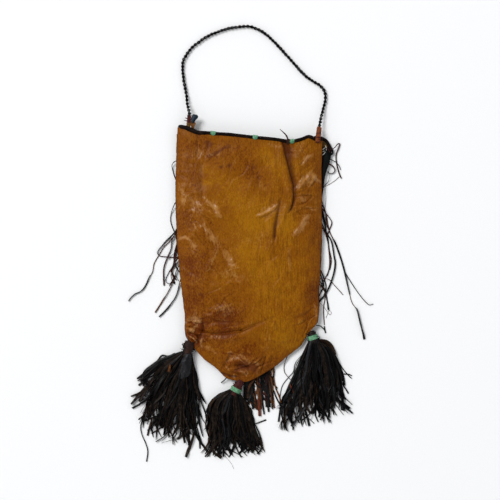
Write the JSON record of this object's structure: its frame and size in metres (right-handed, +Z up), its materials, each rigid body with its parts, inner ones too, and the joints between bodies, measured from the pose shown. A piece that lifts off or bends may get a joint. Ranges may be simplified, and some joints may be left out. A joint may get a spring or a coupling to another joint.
{
  "type": "leather camel bag",
  "caption": "Flat goatskin saddle bag with a pointed foot, black-bound open mouth, twisted cord strap, cut leather tassels and side fringes, lying plain side up.",
  "frame": {"origin": "on the surface that the bag lies on, under the middle of the bag", "axes": "+Z up from the surface, +Y along the bag towards its mouth, +X to the right as seen from above"},
  "size_m": [0.4893, 0.8745, 0.0334],
  "materials": {
    "tan_goatskin": "waxy, mottled",
    "dark_leather": "satin",
    "black_leather": "satin",
    "green_leather": "matte",
    "russet_leather": "satin",
    "brown_leather": "matte",
    "teal_leather": "satin"
  },
  "bodies": {
    "bag": {"back_panel": "tan_goatskin", "front_panel": "dark_leather", "mouth_binding": "black_leather", "binding_tab_left": "green_leather", "binding_tab_middle": "green_leather", "binding_tab_right": "green_leather", "strap_cord": "black_leather", "strap_sleeve_left": "russet_leather", "strap_sleeve_right": "russet_leather", "pull_tab_tongue": "tan_goatskin", "pull_tab_end": "teal_leather", "tie_thong": "brown_leather", "side_fringe_left": "brown_leather", "side_fringe_right": "brown_leather", "foot_welt": "brown_leather", "foot_fringe": "brown_leather"},
    "left_tassel": {"left_tassel_neck": "brown_leather", "left_tassel_skirt": "black_leather"},
    "bottom_tassel": {"bottom_tassel_neck": "russet_leather", "bottom_tassel_band": "green_leather", "bottom_tassel_skirt": "black_leather"},
    "right_tassel": {"right_tassel_neck": "brown_leather", "right_tassel_band": "green_leather", "right_tassel_skirt": "black_leather"}
  },
  "joints": [
    {"name": "left_tassel_lift", "type": "hinge", "parent": "bag", "child": "left_tassel", "pos_m": [-0.12454, -0.1958, 0.0104], "axis": [-0.9511, 0.309, 0], "range_deg": [0, 90]},
    {"name": "bottom_tassel_lift", "type": "hinge", "parent": "bag", "child": "bottom_tassel", "pos_m": [-0.02642, -0.27268, 0.0104], "axis": [-0.9976, 0.0698, 0], "range_deg": [0, 90]},
    {"name": "right_tassel_lift", "type": "hinge", "parent": "bag", "child": "right_tassel", "pos_m": [0.13255, -0.16226, 0.0104], "axis": [-0.9998, 0.0174, 0], "range_deg": [0, 90]}
  ]
}
